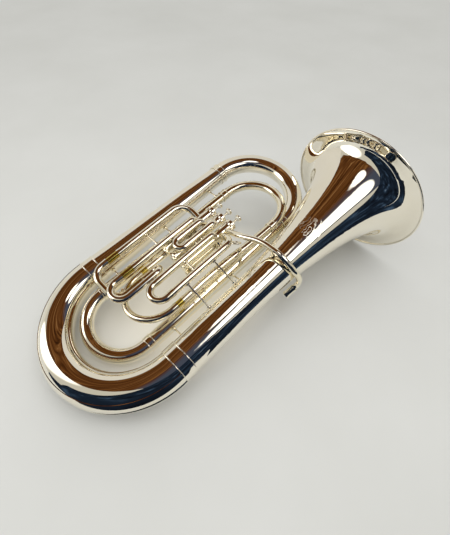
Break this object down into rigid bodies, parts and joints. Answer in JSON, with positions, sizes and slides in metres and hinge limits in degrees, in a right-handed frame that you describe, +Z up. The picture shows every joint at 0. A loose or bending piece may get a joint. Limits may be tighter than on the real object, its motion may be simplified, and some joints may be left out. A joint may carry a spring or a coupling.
{
  "type": "compensating tuba",
  "caption": "Upright top-action tuba lying on its back, with tapered bows, piston valves, drawn tuning slides, a water key and a wide flared bell.",
  "frame": {"origin": "centre of the footprint's box, on the floor that the horn lies on", "axes": "+Z up from the floor; +X from the bottom bow toward the bell's mouth; +Y from the bell across to the outer branch"},
  "size_m": [1.044, 0.6624, 0.4258],
  "materials": {
    "silver_plate": "mirror polished silver plate",
    "raw_brass": "polished bare brass",
    "felt": "white felt",
    "cork": "natural cork",
    "spring_steel": "satin",
    "valve_metal": "lapped nickel alloy"
  },
  "bodies": {
    "frame": {"bell": "silver_plate", "bell_rim_bead": "silver_plate", "bell_ferrule": "silver_plate", "bottom_bow": "silver_plate", "bottom_bow_guard": "silver_plate", "branch_ferrule": "silver_plate", "outer_branch": "silver_plate", "outer_top_bow": "silver_plate", "rising_branch": "silver_plate", "inner_bottom_bow": "silver_plate", "inner_branch": "silver_plate", "inner_top_bow": "silver_plate", "lead_branch": "silver_plate", "joint_ferrules": "silver_plate", "tuning_slide_tubes": "silver_plate", "valve_knuckles": "silver_plate", "first_valve_tubing": "silver_plate", "second_valve_tubing": "silver_plate", "third_valve_tubing": "silver_plate", "compensating_tubing": "silver_plate", "top_valve_caps": "silver_plate", "bottom_valve_caps": "silver_plate", "mouthpipe": "silver_plate", "mouthpiece_receiver": "silver_plate", "thumb_ring": "silver_plate", "branch_braces": "silver_plate", "slide_braces": "silver_plate", "mouthpipe_brace": "silver_plate", "valve_casing_1": "silver_plate", "valve_casing_2": "silver_plate", "valve_casing_3": "silver_plate"},
    "valve_1": {"piston_1": "valve_metal", "valve_stem_1": "silver_plate", "finger_button_1": "silver_plate", "button_felt_1": "felt", "valve_spring_1": "spring_steel"},
    "valve_2": {"piston_2": "valve_metal", "valve_stem_2": "silver_plate", "finger_button_2": "silver_plate", "button_felt_2": "felt", "valve_spring_2": "spring_steel"},
    "valve_3": {"piston_3": "valve_metal", "valve_stem_3": "silver_plate", "finger_button_3": "silver_plate", "button_felt_3": "felt", "valve_spring_3": "spring_steel"},
    "main_slide": {"main_slide_bow": "silver_plate", "main_slide_legs": "raw_brass", "water_key_saddle": "silver_plate"},
    "water_key": {"water_key_lever": "silver_plate", "water_key_cork": "cork"},
    "first_slide": {"first_slide_bow": "silver_plate", "first_slide_legs": "raw_brass"},
    "second_slide": {"second_slide_bow": "silver_plate", "second_slide_legs": "raw_brass"},
    "third_slide": {"third_slide_bow": "silver_plate", "third_slide_legs": "raw_brass", "third_slide_brace": "silver_plate"},
    "first_compensating": {"first_compensating_slide": "silver_plate"},
    "second_compensating": {"second_compensating_slide": "silver_plate"}
  },
  "joints": [
    {"name": "valve_1_press", "type": "slide", "parent": "frame", "child": "valve_1", "axis": [-0.9856, 0, -0.1688], "range_m": [0, 0.02], "stiffness_N_per_m": 150, "springref_m": -0.025},
    {"name": "valve_2_press", "type": "slide", "parent": "frame", "child": "valve_2", "axis": [-0.9856, 0, -0.1688], "range_m": [0, 0.02], "stiffness_N_per_m": 150, "springref_m": -0.025},
    {"name": "valve_3_press", "type": "slide", "parent": "frame", "child": "valve_3", "axis": [-0.9856, 0, -0.1688], "range_m": [0, 0.02], "stiffness_N_per_m": 150, "springref_m": -0.025},
    {"name": "main_slide_draw", "type": "slide", "parent": "frame", "child": "main_slide", "axis": [-0.9856, 0, -0.1688], "range_m": [-0.02, 0.055]},
    {"name": "first_slide_draw", "type": "slide", "parent": "frame", "child": "first_slide", "axis": [-0.9856, 0, -0.1688], "range_m": [0, 0.06]},
    {"name": "second_slide_draw", "type": "slide", "parent": "frame", "child": "second_slide", "axis": [-0.9856, 0, -0.1688], "range_m": [0, 0.04]},
    {"name": "third_slide_draw", "type": "slide", "parent": "frame", "child": "third_slide", "axis": [-0.9856, 0, -0.1688], "range_m": [-0.034, 0.06]},
    {"name": "first_compensating_draw", "type": "slide", "parent": "frame", "child": "first_compensating", "axis": [-0.9856, 0, -0.1688], "range_m": [0, 0.03]},
    {"name": "second_compensating_draw", "type": "slide", "parent": "frame", "child": "second_compensating", "axis": [-0.9856, 0, -0.1688], "range_m": [0, 0.012]},
    {"name": "water_key_hinge", "type": "hinge", "parent": "main_slide", "child": "water_key", "pos_m": [-0.24644, 0.16006, 0.09105], "axis": [-0.1669, 0.1495, 0.9746], "range_deg": [0, 12], "stiffness_Nm_per_rad": 0.06, "springref_deg": -20.05}
  ]
}
